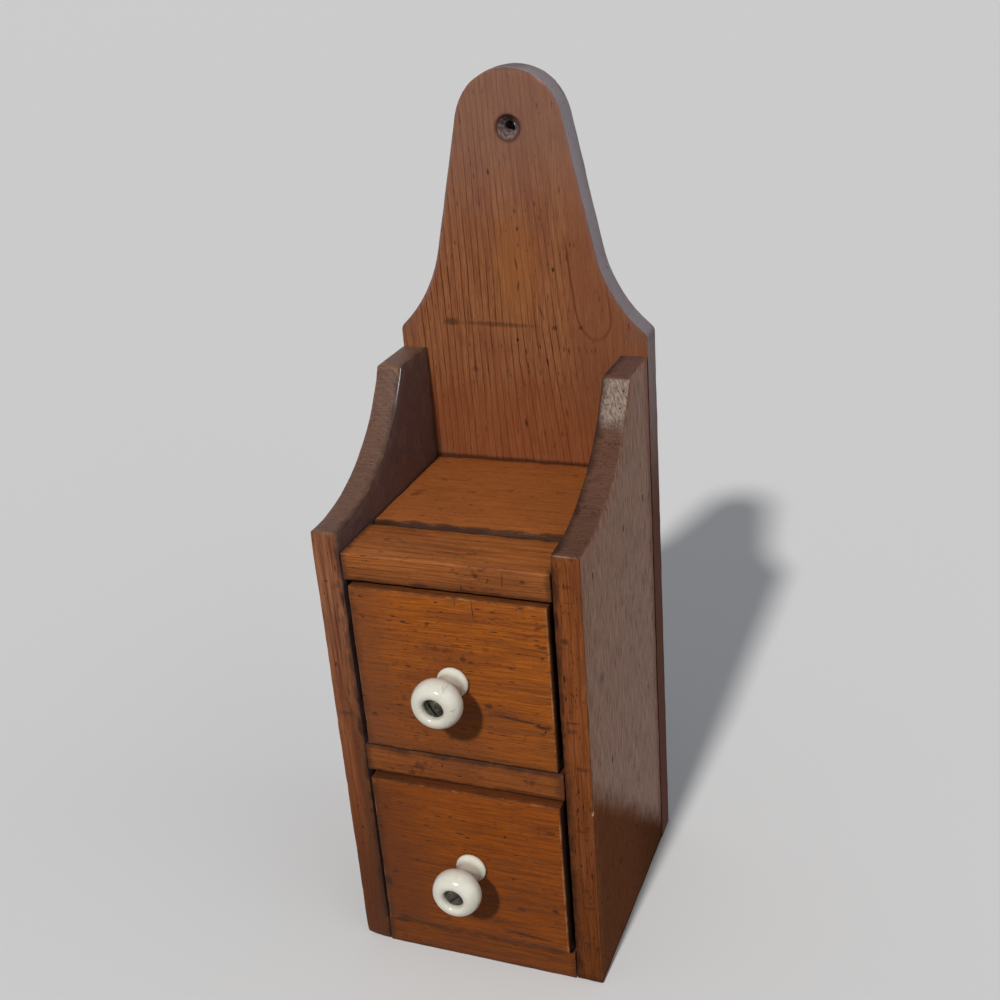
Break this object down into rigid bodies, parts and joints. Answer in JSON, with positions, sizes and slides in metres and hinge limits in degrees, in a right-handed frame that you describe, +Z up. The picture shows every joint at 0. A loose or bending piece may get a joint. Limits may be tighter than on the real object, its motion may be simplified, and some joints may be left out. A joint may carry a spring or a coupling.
{
  "type": "spice cabinet",
  "caption": "Small pine spice cabinet: arched back board with a hanging hole, open shelf between scooped arms, and stacked sliding drawers with round china knobs.",
  "frame": {"origin": "middle of the base, on the surface the cabinet stands on", "axes": "+Z up, drawers open towards -Y, +Y towards the wall, +X to the right seen from the front"},
  "size_m": [0.13, 0.1628, 0.4234],
  "materials": {
    "back_pine": "old orange shellac, satin, vertical grain",
    "side_pine": "old shellac, satin, vertical grain",
    "front_pine": "old orange shellac, satin, level grain",
    "rail_pine": "old orange shellac, satin, level grain",
    "bare_pine": "unfinished, dry and darkened with age",
    "china": "glazed, finely crazed",
    "bolt_steel": "dark, tarnished",
    "brads": "dark, rusted"
  },
  "bodies": {
    "carcass": {"back_board": "back_pine", "left_side": "side_pine", "right_side": "side_pine", "top_rail": "rail_pine", "shelf_board": "rail_pine", "drawer_divider": "rail_pine", "bottom_board": "rail_pine", "left_side_nails": "brads", "right_side_nails": "brads", "back_nails": "brads"},
    "upper_drawer": {"upper_drawer_front": "front_pine", "upper_drawer_left_side": "bare_pine", "upper_drawer_right_side": "bare_pine", "upper_drawer_back": "bare_pine", "upper_drawer_bottom": "bare_pine", "upper_drawer_nails": "brads", "upper_knob": "china", "upper_knob_bolt": "bolt_steel", "upper_knob_washer": "bolt_steel", "upper_knob_nut": "bolt_steel"},
    "lower_drawer": {"lower_drawer_front": "front_pine", "lower_drawer_left_side": "bare_pine", "lower_drawer_right_side": "bare_pine", "lower_drawer_back": "bare_pine", "lower_drawer_bottom": "bare_pine", "lower_drawer_nails": "brads", "lower_knob": "china", "lower_knob_bolt": "bolt_steel", "lower_knob_washer": "bolt_steel", "lower_knob_nut": "bolt_steel"}
  },
  "joints": [
    {"name": "upper_drawer_slide", "type": "slide", "parent": "carcass", "child": "upper_drawer", "axis": [0, -1, 0], "range_m": [0, 0.1]},
    {"name": "lower_drawer_slide", "type": "slide", "parent": "carcass", "child": "lower_drawer", "axis": [0, -1, 0], "range_m": [0, 0.1]}
  ]
}
